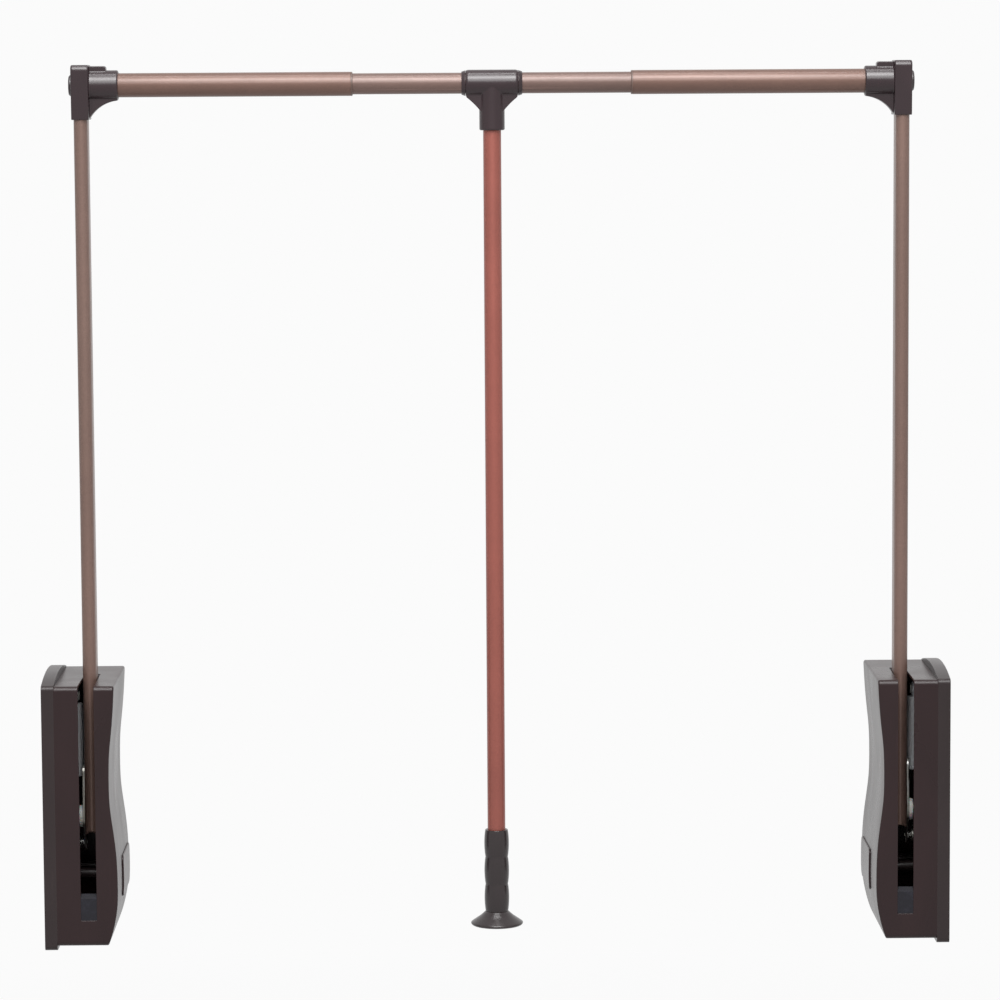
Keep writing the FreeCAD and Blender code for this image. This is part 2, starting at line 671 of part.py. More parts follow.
# ---- pull rod ----
def tee_gussets():
    """The ribs between sleeve and neck, in one plate: a hollow arc on each side of the neck."""
    top, low = rail_height - tee_r - 0.7, rail_height - tee_gusset_low
    across, up = tee_bulge
    root = neck_r - 1
    y = arm_y - web_t / 2
    arcs = []
    for side in (-1, 1):
        middle = V(side * (root + across * (tee_gusset - root)), y, low + up * (top - low))
        arcs.append(Part.Arc(V(side * root, y, low), middle, V(side * tee_gusset, y, top)).toShape())
    outline = [V(-tee_gusset, y, top), V(-tee_gusset, y, rail_height), V(tee_gusset, y, rail_height),
               V(tee_gusset, y, top)]
    edges = [Part.makeLine(a, b) for a, b in zip(outline, outline[1:])]
    edges.append(Part.makeLine(V(-root, y, low), V(root, y, low)))
    wire = Part.Wire(Part.__sortEdges__(edges + arcs))
    return Part.Face(wire).extrude(V(0, web_t, 0))


def tee_connector():
    half = tee_length / 2
    outline = [(-half, tee_end_r), (tee_taper - half, tee_r), (half - tee_taper, tee_r), (half, tee_end_r)]
    points = [V(-half, arm_y, rail_height)]
    points += [V(x, arm_y, rail_height + r) for x, r in outline] + [V(half, arm_y, rail_height)]
    face = Part.Face(Part.makePolygon(points + points[:1]))
    sleeve = face.revolve(V(0, arm_y, rail_height), V(1, 0, 0), 360)
    neck_end = rail_height - neck_bottom
    neck = bar_z(0, arm_y, neck_end, rail_height, neck_r)
    mouth = [e for e in neck.Edges if e.BoundBox.ZMax < neck_end + 0.1 and e.BoundBox.ZLength < 0.01]
    neck = neck.makeChamfer(mouth_chamfer, mouth)
    body = sleeve.fuse([neck, tee_gussets()])
    holes = [bar_x(-half - 1, half + 1, arm_y, rail_height, inner_tube_r + fit),
             bar_z(0, arm_y, neck_end - 1, rail_height - rod_top, rod_r + fit),
             bar_y(0, arm_y + rod_r, arm_y + neck_r + 1, tee_screw_height(), grub_r + fit)]
    return body.cut(holes).removeSplitter()


def tee_screw_height():
    return rail_height - neck_bottom + 9.0


def tee_screw():
    head_back = arm_y + neck_r + 1.6
    head = bar_y(0, arm_y + neck_r + 0.1, head_back, tee_screw_height(), grub_r + 1.6)
    shank = bar_y(0, arm_y + rod_r + fit, arm_y + neck_r + 0.1, tee_screw_height(), grub_r)
    cross = [block(-a, a, head_back - 0.9, head_back + 1, tee_screw_height() - b, tee_screw_height() + b)
             for a, b in ((2.0, 0.35), (0.35, 2.0))]
    return head.fuse(shank).cut(cross).removeSplitter()


def tee_collars():
    """Rings on the inner tube that keep the swinging T in the middle of the rail."""
    collars = []
    for side in (-1, 1):
        near = side * (tee_length / 2 + collar_gap)
        ring = Part.makeCone(collar_r, collar_tip_r, collar_t, V(near, arm_y, rail_height), V(side, 0, 0))
        collars.append(ring.cut(bar_x(-span, span, arm_y, rail_height, inner_tube_r + fit)))
    return Part.makeCompound(collars)


def pull_rod_tube():
    return pipe_z(0, arm_y, rod_bottom, rail_height - rod_top - fit, rod_r, rod_r - rod_wall)


def grip():
    """The handle: three barrels in a row, each a shallow arc between two waists."""
    heights = [grip_top, *grip_waists, grip_bottom]
    edges = [Part.makeLine(V(0, arm_y, grip_top), V(grip_r - 0.6, arm_y, grip_top))]
    start = V(grip_r - 0.6, arm_y, grip_top)
    for high, low in zip(heights, heights[1:]):
        end = V(grip_waist_r, arm_y, low)
        edges.append(Part.Arc(start, V(grip_r + 0.25, arm_y, (high + low) / 2), end).toShape())
        start = end
    edges.append(Part.makeLine(start, V(0, arm_y, grip_bottom)))
    edges.append(Part.makeLine(V(0, arm_y, grip_bottom), V(0, arm_y, grip_top)))
    body = Part.Face(Part.Wire(edges)).revolve(V(0, arm_y, 0), V(0, 0, 1), 360)
    holes = [bar_z(0, arm_y, rod_bottom - fit, grip_top + 1, rod_r + fit),
             bar_z(0, arm_y, grip_bottom - 1, rod_bottom, rod_r - rod_wall - fit)]
    return body.cut(holes).removeSplitter()


def foot():
    """The flared end of the pull rod, with a plug that goes up through the grip into the tube."""
    plug_r = rod_r - rod_wall - 2 * fit
    rim_top = foot_bottom + foot_rim
    flare_start = V(foot_neck_r, arm_y, grip_bottom - fit)
    flare_end = V(foot_r, arm_y, rim_top)
    belly = V(foot_neck_r + 0.46 * (foot_r - foot_neck_r), arm_y, rim_top + 0.47 * (grip_bottom - rim_top))
    under = V(foot_r - 1.5, arm_y, foot_bottom)
    edges = [Part.makeLine(V(0, arm_y, grip_bottom - fit), flare_start),
             Part.Arc(flare_start, belly, flare_end).toShape(),
             Part.makeLine(flare_end, V(foot_r, arm_y, foot_bottom + 1.5)),
             Part.makeLine(V(foot_r, arm_y, foot_bottom + 1.5), under),
             Part.makeLine(under, V(0, arm_y, foot_bottom)),
             Part.makeLine(V(0, arm_y, foot_bottom), V(0, arm_y, grip_bottom - fit))]
    body = Part.Face(Part.Wire(edges)).revolve(V(0, arm_y, 0), V(0, 0, 1), 360)
    plug = bar_z(0, arm_y, grip_bottom - fit, grip_bottom + foot_plug_length, plug_r)
    hollow = bar_z(0, arm_y, foot_bottom - 1, foot_bottom + foot_rim, foot_neck_r)
    return body.fuse(plug).cut(hollow).removeSplitter()


# ---- the set of pieces ----
def save(name, shape):
    shape.exportStep("parts/" + name + ".step")


def save_pair(name, shape):
    """The piece at the left wall, and its mirror image at the right wall."""
    left = shape.translated(V(-half_span, 0, 0))
    save("left_" + name, left)
    save("right_" + name, left.mirror(V(0, 0, 0), V(1, 0, 0)))


side_pieces = (wall_plate, casing_cover, cover_cap, cover_screws, stop_pad, top_buffer,
               pivot_axle, axle_nut, pivot_bush, crank_lever, crank_pin, lever_rivets,
               strut_cylinder, strut_gland, strut_piston, strut_rod, strut_rod_end, strut_anchor_pin,
               arm_tube, corner_connector, corner_cap, corner_screws, rail_outer_tube, rail_guide_ring)
middle_pieces = (rail_inner_tube, inner_tube_plugs, tee_connector, tee_collars, tee_screw,
                 pull_rod_tube, grip, foot)

os.makedirs("parts", exist_ok=True)
for piece in side_pieces:
    save_pair(piece.__name__, piece())
for piece in middle_pieces:
    save(piece.__name__, piece())
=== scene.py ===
"""Looks of a pull-down closet rod: two wall casings, swinging arms, a telescopic rail and a pull rod."""
import json
import math

import bmesh
import bpy
from bpy.props import FloatProperty, FloatVectorProperty, IntProperty, PointerProperty
from mathutils import Matrix, Vector


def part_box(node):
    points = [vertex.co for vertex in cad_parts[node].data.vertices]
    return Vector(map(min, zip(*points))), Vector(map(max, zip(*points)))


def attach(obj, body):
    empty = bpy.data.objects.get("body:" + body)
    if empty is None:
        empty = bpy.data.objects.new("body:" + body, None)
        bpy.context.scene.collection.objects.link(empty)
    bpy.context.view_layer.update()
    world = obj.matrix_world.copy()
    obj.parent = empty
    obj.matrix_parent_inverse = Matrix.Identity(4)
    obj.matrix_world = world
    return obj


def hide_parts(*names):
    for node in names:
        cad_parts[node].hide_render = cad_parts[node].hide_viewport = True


bl_info = {
    "name": "Pull-down closet rod looks",
    "version": (1, 0),
    "blender": (4, 5, 0),
    "location": "View3D > Sidebar > Closet rod",
    "description": "Dresses the packed closet rod with materials, detail, light and a camera",
    "category": "Object",
}

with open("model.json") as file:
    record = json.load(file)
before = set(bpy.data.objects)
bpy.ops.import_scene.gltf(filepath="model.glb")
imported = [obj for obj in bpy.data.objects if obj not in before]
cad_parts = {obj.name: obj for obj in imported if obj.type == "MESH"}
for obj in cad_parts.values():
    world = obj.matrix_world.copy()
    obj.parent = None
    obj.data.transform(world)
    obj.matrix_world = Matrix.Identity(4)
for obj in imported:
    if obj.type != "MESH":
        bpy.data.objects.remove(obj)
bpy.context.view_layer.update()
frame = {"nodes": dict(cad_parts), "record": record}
materials = {}              # slot of the record: its material, filled by build_materials()

# Shapes are drawn in millimetres and scaled to metres when they become pieces.
MM = 0.001
FIT = 0.05                  # gap between a redrawn piece and the one it seats on
SAME_PLACE = 0.001          # points closer than this are one point
CREASE = math.radians(35)   # an edge that turns further than this stays sharp
TURN_STEPS = 144            # faces round a turned piece
HOLE_STEPS = 64             # faces round a drilled hole
HALF_OVAL_STEPS = 28        # faces round each end of an arm's section
BEND_STEPS = 5              # faces round a rounded corner


# ---- material graphs ----
class Graph:
    """A node tree, with short calls for the nodes that are used here."""

    def __init__(self, tree):
        self.nodes = tree.nodes
        self.links = tree.links
        self.shader = tree.nodes.get("Principled BSDF")

    def fixed(self, **values):
        """Sets constants on the shader, with underscores for the spaces in a socket's name."""
        for key, value in values.items():
            self.shader.inputs[key.replace("_", " ")].default_value = value

    def feed(self, source, socket):
        self.links.new(source, self.shader.inputs[socket])

    def node(self, kind, output, *sources, **settings):
        """Adds a node, sets its properties, and feeds or sets its inputs in order."""
        item = self.nodes.new(kind)
        for key, value in settings.items():
            setattr(item, key, value)
        for socket, source in zip(item.inputs, sources):
            if isinstance(source, bpy.types.NodeSocket):
                self.links.new(source, socket)
            elif source is not None:
                socket.default_value = source
        return item.outputs[output]

    def texture(self, kind, scale, output="Fac", stretch=(1, 1, 1), turn=(0, 0, 0), **inputs):
        """A procedural texture on object coordinates; a small stretch draws it out along that axis."""
        place = self.node("ShaderNodeTexCoord", "Object")
        place = self.node("ShaderNodeMapping", "Vector", place, (0, 0, 0), turn, stretch)
        item = self.nodes.new(kind)
        item.inputs["Scale"].default_value = scale
        for key, value in inputs.items():
            item.inputs[key].default_value = value
        self.links.new(place, item.inputs["Vector"])
        return item.outputs[output]

    def spread(self, source, low, high, start=0.0, end=1.0):
        """Maps start..end of a value onto low..high."""
        return self.node("ShaderNodeMapRange", "Result", source, start, end, low, high)

    def math(self, operation, a, b):
        return self.node("ShaderNodeMath", "Value", a, b, operation=operation)

    def blend(self, factor, a, b, kind="MIX"):
        """Mixes two colours."""
        item = self.nodes.new("ShaderNodeMix")
        item.data_type = "RGBA"
        item.blend_type = kind
        for socket, source in (("Factor", factor), ("A", a), ("B", b)):
            if isinstance(source, bpy.types.NodeSocket):
                self.links.new(source, item.inputs[socket])
            elif socket == "Factor":
                item.inputs[socket].default_value = source
            else:
                item.inputs[socket].default_value = (*source, 1.0)
        return item.outputs["Result"]

    def edges_worn_and_lit(self, radius):
        """Rounded normal, and a mask that is 1 on edges and fades out over the radius in millimetres."""
        rounded_normal = self.node("ShaderNodeBevel", "Normal", radius * MM, samples=6)
        flat = self.node("ShaderNodeNewGeometry", "Normal")
        match = self.node("ShaderNodeVectorMath", "Value", rounded_normal, flat, operation="DOT_PRODUCT")
        return rounded_normal, self.spread(match, 1.0, 0.0, 0.80, 0.985)

    def bump(self, height, strength, depth, normal):
        """Roughens a normal by a height, its depth in millimetres."""
        item = self.nodes.new("ShaderNodeBump")
        item.inputs["Strength"].default_value = strength
        item.inputs["Distance"].default_value = depth * MM
        self.links.new(height, item.inputs["Height"])
        self.links.new(normal, item.inputs["Normal"])
        return item.outputs["Normal"]

    def seen_ray(self):
        """1 for a camera, glossy or transmission ray, and 0 for the rays that light the object."""
        path = self.nodes.new("ShaderNodeLightPath")
        total = path.outputs["Is Camera Ray"]
        for kind in ("Is Glossy Ray", "Is Transmission Ray"):
            total = self.math("MAXIMUM", total, path.outputs[kind])
        return total


def new_material(name):
    material = bpy.data.materials.new(name)
    material.use_nodes = True
    return material, Graph(material.node_tree)


def shade(colour, factor):
    return tuple(part * factor for part in colour)


# ---- materials ----
def lacquered_tube(name, colour, along, roughness, rubbed=0.0):
    """Metallic lacquer on drawn metal: flakes, faint draw lines, smudges, rub marks and a clear coat."""
    material, graph = new_material(name)
    graph.fixed(Metallic=0.3, Specular_IOR_Level=0.2, Coat_Weight=0.40, Coat_Roughness=0.22)
    drawn = tuple(0.010 if axis == along else 1.0 for axis in "XYZ")
    lines = graph.texture("ShaderNodeTexNoise", 900, stretch=drawn, Detail=4.0)
    flakes = graph.texture("ShaderNodeTexVoronoi", 3200, "Color")
    cloud = graph.texture("ShaderNodeTexNoise", 9, Detail=5.0, Roughness=0.6)
    smudge = graph.texture("ShaderNodeTexNoise", 38, Detail=6.0, Roughness=0.7, Distortion=0.6)
    normal, edge = graph.edges_worn_and_lit(0.5)
    tint = graph.blend(graph.spread(cloud, 0, 1, 0.35, 0.65), shade(colour, 0.93), shade(colour, 1.08))
    glint = graph.node("ShaderNodeSeparateColor", "Red", flakes)
    glint = graph.blend(glint, (0.82, 0.82, 0.83), (1.18, 1.17, 1.15))
    tint = graph.blend(1.0, tint, glint, "MULTIPLY")
    if rubbed:
        fine = tuple(0.2 * part for part in drawn)
        scratches = graph.texture("ShaderNodeTexNoise", 2600, stretch=fine, Detail=2.0)
        rub = graph.math("MULTIPLY", graph.spread(scratches, 0, rubbed, 0.60, 0.72), smudge)
        tint = graph.blend(rub, tint, shade(colour, 2.1))
    # Edges painted lighter: partly worn lacquer, partly painted highlight.
    tint = graph.blend(graph.math("MULTIPLY", edge, 0.5), tint, shade(colour, 1.9))
    graph.feed(tint, "Base Color")
    gloss = graph.spread(lines, roughness * 0.84, roughness * 1.1, 0.3, 0.7)
    gloss = graph.math("ADD", gloss, graph.spread(smudge, 0, 0.07, 0.5, 0.75))
    graph.feed(gloss, "Roughness")
    peel = graph.texture("ShaderNodeTexNoise", 420, Detail=1.0)
    normal = graph.bump(peel, 0.05, 0.2, normal)
    graph.feed(graph.bump(lines, 0.06, 0.1, normal), "Normal")
    return material


def moulded_plastic(name, colour, roughness, grain, grain_size, specular, edge_radius, polish):
    """Injection-moulded plastic: an eroded grain, flow clouding, fine scuffs, and edges painted lighter,
    partly as rubbed wear and partly as painted highlight.
    """
    material, graph = new_material(name)
    graph.fixed(Specular_IOR_Level=specular)
    cells = graph.texture("ShaderNodeTexVoronoi", 1000 / grain_size, "Distance")
    pits = graph.texture("ShaderNodeTexNoise", 1400 / grain_size, Detail=5.0, Roughness=0.6)
    flow = graph.texture("ShaderNodeTexNoise", 16, stretch=(1, 1, 0.45), Detail=5.0, Distortion=0.9)
    scuffs = graph.texture("ShaderNodeTexNoise", 520, stretch=(1, 0.05, 0.05), turn=(0.5, 0, 0), Detail=3.0)
    normal, edge = graph.edges_worn_and_lit(edge_radius)
    tint = graph.blend(graph.spread(flow, 0, 1, 0.35, 0.65), shade(colour, 0.90), shade(colour, 1.10))
    tint = graph.blend(graph.spread(pits, 0, 0.35, 0.50, 0.70), tint, shade(colour, 0.70))
    tint = graph.blend(graph.spread(scuffs, 0, 0.25, 0.64, 0.74), tint, shade(colour, 1.8))
    # Edges painted lighter: partly rubbed wear, partly painted highlight.
    tint = graph.blend(graph.math("MULTIPLY", edge, 0.6), tint, shade(colour, polish))
    graph.feed(tint, "Base Color")
    gloss = graph.spread(flow, roughness * 0.88, roughness * 1.12, 0.3, 0.7)
    gloss = graph.math("SUBTRACT", gloss, graph.math("MULTIPLY", edge, roughness * 0.25))
    graph.feed(gloss, "Roughness")
    height = graph.math("ADD", cells, pits)
    graph.feed(graph.bump(height, grain, 0.06, normal), "Normal")
    return material


def plated_steel(name, colour, roughness, marks, aged):
    """Plated or ground steel: turning or rolling marks, clouded plating, and edges painted brighter, partly
    as wear and partly as painted highlight.
    """
    material, graph = new_material(name)
    graph.fixed(Metallic=1.0)
    lines = graph.texture("ShaderNodeTexNoise", 900, stretch=marks, Detail=4.0)
    spangle = graph.texture("ShaderNodeTexVoronoi", 420, "Color")
    cloud = graph.texture("ShaderNodeTexNoise", 60, Detail=5.0)
    normal, edge = graph.edges_worn_and_lit(0.35)
    dull = tuple(0.86 * part * share for part, share in zip(colour, aged))
    tint = graph.blend(graph.spread(cloud, 0, 1, 0.38, 0.62), colour, dull)
    grains = graph.node("ShaderNodeSeparateColor", "Red", spangle)
    grains = graph.blend(grains, (0.90, 0.90, 0.90), (1.06, 1.06, 1.06))
    tint = graph.blend(1.0, tint, grains, "MULTIPLY")
    # Edges painted brighter: partly wear, partly painted highlight.
    tint = graph.blend(graph.math("MULTIPLY", edge, 0.6), tint, shade(colour, 1.25))
    graph.feed(tint, "Base Color")
    graph.feed(graph.spread(lines, roughness * 0.7, roughness * 1.4, 0.3, 0.7), "Roughness")
    graph.feed(graph.bump(lines, 0.12, 0.05, normal), "Normal")
    return material


def rubber(name, colour):
    """Moulded rubber: matt, with dust in its pores."""
    material, graph = new_material(name)
    graph.fixed(Specular_IOR_Level=0.25)
    pores = graph.texture("ShaderNodeTexNoise", 1500, Detail=4.0)
    dust = graph.texture("ShaderNodeTexNoise", 130, Detail=7.0, Roughness=0.7)
    normal, edge = graph.edges_worn_and_lit(0.5)
    tint = graph.blend(graph.spread(dust, 0, 0.7, 0.50, 0.72), colour, shade(colour, 2.6))
    # Edges painted lighter: partly wear, partly painted highlight.
    tint = graph.blend(graph.math("MULTIPLY", edge, 0.5), tint, shade(colour, 1.8))
    graph.feed(tint, "Base Color")
    graph.feed(graph.spread(dust, 0.62, 0.85, 0.3, 0.7), "Roughness")
    graph.feed(graph.bump(pores, 0.3, 0.08, normal), "Normal")
    return material


def nylon(name, colour):
    """Natural nylon: slightly translucent, with flow marks and a soft sheen."""
    material, graph = new_material(name)
    graph.fixed(Subsurface_Weight=0.25, Subsurface_Scale=0.002, Specular_IOR_Level=0.5)
    flow = graph.texture("ShaderNodeTexNoise", 90, Detail=5.0, Distortion=1.2)
    grain = graph.texture("ShaderNodeTexNoise", 1700, Detail=3.0)
    normal, _ = graph.edges_worn_and_lit(0.4)
    graph.feed(graph.blend(graph.spread(flow, 0, 1, 0.35, 0.7), colour, shade(colour, 0.85)), "Base Color")
    graph.feed(graph.spread(flow, 0.30, 0.46, 0.3, 0.7), "Roughness")
    graph.feed(graph.bump(grain, 0.12, 0.06, normal), "Normal")
    return material


def build_materials(colours):
    """Makes the material of each slot in the record, in the colours of the panel."""
    def make(slot, finish, **look):
        materials[slot] = finish(slot, getattr(colours, slot), **look)

    casing = {"grain_size": 0.6, "specular": 0.28}
    make("housing", moulded_plastic, roughness=0.29, grain=0.20, edge_radius=1.0, polish=2.0, **casing)
    make("housing_plate", moulded_plastic, roughness=0.31, grain=0.20, edge_radius=1.0, polish=1.8, **casing)
    make("housing_cap", moulded_plastic, roughness=0.28, grain=0.18, edge_radius=0.8, polish=2.0, **casing)
    make("fitting_plastic", moulded_plastic, roughness=0.28, grain=0.08, grain_size=0.4, specular=0.5,
         edge_radius=0.8, polish=1.5)
    make("guide_plastic", moulded_plastic, roughness=0.40, grain=0.12, grain_size=0.5, specular=0.5,
         edge_radius=0.4, polish=1.2)
    make("grip_plastic", moulded_plastic, roughness=0.24, grain=0.08, grain_size=0.45, specular=0.45,
         edge_radius=0.7, polish=1.5)
    make("buffer_rubber", rubber)
    make("bearing_nylon", nylon)
    make("zinc_steel", plated_steel, roughness=0.30, marks=(1, 0.05, 0.05), aged=(1.0, 0.97, 0.88))
    make("strut_chrome", plated_steel, roughness=0.10, marks=(1, 1, 0.03), aged=(1.0, 1.0, 1.0))
    make("strut_black", lacquered_tube, along="Z", roughness=0.46)
    make("arm_lacquer", lacquered_tube, along="Z", roughness=0.48)
    make("rail_lacquer", lacquered_tube, along="X", roughness=0.50)
    make("inner_rail_lacquer", lacquered_tube, along="X", roughness=0.50, rubbed=0.8)
    make("pull_rod_lacquer", lacquered_tube, along="Z", roughness=0.48)


# ---- shapes ----
def rounded(outline):
    """Turns an outline of (along, radius, bend) corners into points, each bend rounded off."""
    points = []
    for i, (along, radius, bend) in enumerate(outline):
        corner = Vector((along, radius))
        if not bend:
            points.append(corner)
            continue
        back = Vector(outline[i - 1][:2]) - corner
        ahead = Vector(outline[(i + 1) % len(outline)][:2]) - corner
        start = corner + back.normalized() * min(bend, back.length / 2)
        end = corner + ahead.normalized() * min(bend, ahead.length / 2)
        for k in range(BEND_STEPS + 1):
            t = k / BEND_STEPS
            points.append(start * (1 - t) ** 2 + corner * 2 * t * (1 - t) + end * t ** 2)
    return points


def axes_of(axis):
    """Numbers of the named axis and of the two across it."""
    along = "XYZ".index(axis)
    return along, *(n for n in range(3) if n != along)


def wire(shape, points, axis):
    """Draws (along, radius) points beside an axis, closed unless they start on it; returns what it drew."""
    along, aside, _ = axes_of(axis)
    verts = []
    for place, radius in points:
        vert = shape.verts.new()
        vert.co[along] = place
        vert.co[aside] = radius
        verts.append(vert)
    pairs = list(zip(verts, verts[1:]))
    if points[0][1] > 0:
        pairs.append((verts[-1], verts[0]))
    return verts + [shape.edges.new(pair) for pair in pairs]


def lathe(shape, outline, axis, centre, steps=TURN_STEPS):
    """Turns an outline of (along, radius, bend) corners about an axis through the centre."""
    older = set(shape.verts)
    along = axes_of(axis)[0]
    direction = Vector((0, 0, 0))
    direction[along] = 1
    drawn = wire(shape, rounded(outline), axis)
    bmesh.ops.spin(shape, geom=drawn, cent=(0, 0, 0), axis=direction, angle=math.tau, steps=steps,
                   use_merge=True)
    across = Vector(centre)
    across[along] = 0
    turned = [vert for vert in shape.verts if vert not in older]
    bmesh.ops.translate(shape, verts=turned, vec=across)
    bmesh.ops.remove_doubles(shape, verts=turned, dist=SAME_PLACE)
    bmesh.ops.recalc_face_normals(shape, faces=shape.faces)


def press_weld(shape, axis, centre, place):
    """Gives a turned tube the dressed weld of a drawn one: a shallow flat along it, at that angle."""
    depth, width = 0.08, math.radians(5)
    along, first, second = axes_of(axis)
    for vert in shape.verts:
        out = vert.co - centre
        out[along] = 0
        away = (math.atan2(out[second], out[first]) % math.tau - place) / width
        vert.co -= out.normalized() * depth * math.exp(-away * away)


def mesh_of(name, shape):
    """A mesh of a finished shape."""
    mesh = bpy.data.meshes.new(name)
    shape.to_mesh(mesh)
    shape.free()
    return mesh


def linked(name, data):
    """An object of a mesh, a lamp or a camera, in the scene."""
    item = bpy.data.objects.new(name, data)
    bpy.context.scene.collection.objects.link(item)
    return item


def in_metres(name, shape):
    """An object of a finished shape, which was drawn in millimetres."""
    bmesh.ops.scale(shape, vec=(MM, MM, MM), verts=shape.verts)
    return linked(name, mesh_of(name, shape))


def settle(item):
    """Applies an object's modifiers."""
    graph = bpy.context.evaluated_depsgraph_get()
    mesh = bpy.data.meshes.new_from_object(item.evaluated_get(graph))
    item.modifiers.clear()
    item.data = mesh


def soften_shading(item, crease=CREASE):
    """Smooth shading, with the edges that turn by more than the crease left sharp."""
    shape = bmesh.new()
    shape.from_mesh(item.data)
    bmesh.ops.recalc_face_normals(shape, faces=shape.faces)
    for face in shape.faces:
        face.smooth = True
    for edge in shape.edges:
        edge.smooth = not edge.is_manifold or edge.calc_face_angle(0) < crease
    shape.to_mesh(item.data)
    shape.free()


def adopt(item, node):
    """The piece takes the place, the body and the material of a CAD node."""
    slot = next(entry["material_slot"] for entry in frame["record"]["subparts"] if entry["node"] == node)
    bodies = frame["record"]["behaviour"]["bodies"]
    item.data.materials.clear()
    item.data.materials.append(materials[slot])
    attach(item, next(name for name, nodes in bodies.items() if node in nodes))
    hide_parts(node)


def finish(name, shape, node):
    """Makes a shape the piece that stands for a CAD node."""
    item = in_metres(name, shape)
    soften_shading(item)
    adopt(item, node)


def reach(node):
    """Lowest and highest corner of a CAD node's box, in millimetres."""
    return tuple(Vector(corner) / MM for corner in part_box(node))


# ---- pieces ----
def tube(node, axis, wall, weld):
    """A drawn tube in the place of a CAD tube, with broken edges and its weld at the given angle."""
    bend = 0.35
    low, high = reach(node)
    centre = (low + high) / 2
    along, across, _ = axes_of(axis)
    outer = (high - low)[across] / 2
    inner = outer - wall
    start, end = low[along], high[along]
    outline = [(start, outer, bend), (end, outer, bend), (end, inner, bend), (start, inner, bend)]
    shape = bmesh.new()
    lathe(shape, outline, axis, centre)
    press_weld(shape, axis, centre, weld)
    finish(node + "_drawn", shape, node)


def oval_tube(width, depth, height, wall):
    """An upright tube, flat across X and half round to the front and the back, standing on the origin."""
    shape = bmesh.new()
    radius, flat = width / 2, (depth - width) / 2
    section = wire(shape, [(0, radius), (height, radius), (height, radius - wall), (0, radius - wall)], "Z")
    bmesh.ops.translate(shape, verts=shape.verts, vec=(0, flat, 0))
    for side in (flat, -flat):
        bend = {"cent": (0, side, 0), "angle": math.pi, "steps": HALF_OVAL_STEPS}
        straight = {"dvec": (0, -2 * side, 0), "angle": 0, "steps": 1}
        for run in (bend, straight):
            section = bmesh.ops.spin(shape, geom=section, axis=(0, 0, 1), **run)["geom_last"]
    bmesh.ops.remove_doubles(shape, verts=shape.verts, dist=SAME_PLACE)
    bmesh.ops.recalc_face_normals(shape, faces=shape.faces)
    return shape


def carve(item, shape):
    """Cuts a closed shape out of a piece."""
    tool = in_metres("cutter", shape)
    modifier = item.modifiers.new("cut", "BOOLEAN")
    modifier.operation = "DIFFERENCE"
    modifier.solver = "EXACT"
    modifier.object = tool
    settle(item)
    bpy.data.objects.remove(tool)


def oval_arm(node, rivet_node, wall, bush_radius):
    """An arm of oval tube, its lower end rounded about the pivot, with the holes for bush and rivets."""
    tail_margin = 5.0       # the rounded end's radius over half the arm's depth
    rivet_head, rivet_hole = 4.0, 2.05
    low, high = reach(node)
    centre, size = (low + high) / 2, high - low
    tail = size.y / 2 + tail_margin
    shape = oval_tube(size.x, size.y, size.z, wall)
    for vert in shape.verts:
        if vert.co.z < size.z / 2:
            vert.co.z = tail - math.sqrt(tail ** 2 - vert.co.y ** 2)
    bmesh.ops.translate(shape, verts=shape.verts, vec=(centre.x, centre.y, low.z))
    item = in_metres(node + "_drawn", shape)
    rivets_low, rivets_high = reach(rivet_node)
    drilled = [(low.z + tail, bush_radius), (rivets_low.z + rivet_head, rivet_hole),
               (rivets_high.z - rivet_head, rivet_hole)]
    start, end = centre.x - size.x, centre.x + size.x
    holes = bmesh.new()
    for z, radius in drilled:
        outline = [(start, 0, 0), (start, radius, 0), (end, radius, 0), (end, 0, 0)]
        lathe(holes, outline, "X", (0, centre.y, z), HOLE_STEPS)
    carve(item, holes)
    soften_shading(item)
    adopt(item, node)


def moulded(node, voxel, passes, keep):
    """A moulded piece in the place of a CAD one, its walls and ribs running into each other softly."""
    item = linked(node + "_moulded", frame["nodes"][node].data.copy())
    skin = item.modifiers.new("skin", "REMESH")
    skin.mode = "VOXEL"
    skin.voxel_size = voxel
    melt = item.modifiers.new("melt", "SMOOTH")
    melt.factor = 0.5
    melt.iterations = passes
    thin = item.modifiers.new("thin", "DECIMATE")
    thin.ratio = keep
    settle(item)
    soften_shading(item, math.radians(60))
    adopt(item, node)


def barrels(low, high, count, waist, swell):
    """Upright outline of the handle's outer side: barrels between shallow waists."""
    steps, fullness = 14, 0.75
    points = []
    for k in range(count * steps + 1):
        share = k / steps
        lift = abs(math.sin(math.pi * share)) ** fullness
        points.append((low + (high - low) * share / count, waist + swell * lift, 0))
    return points


# ---- settings ----
# The four functions that follow are short forms of the properties in the groups.
def length(name, description, default):
    return FloatProperty(name=name, description=description, default=default, unit="LENGTH")


def angle(name, description, default):
    return FloatProperty(name=name, description=description, default=default, unit="ROTATION")


def brightness(name, description, default):
    return FloatProperty(name=name, description=description, default=default, min=0)


def paint(name, description, default):
    return FloatVectorProperty(name=name, description=description, default=default, subtype="COLOR",
                               min=0, max=1)


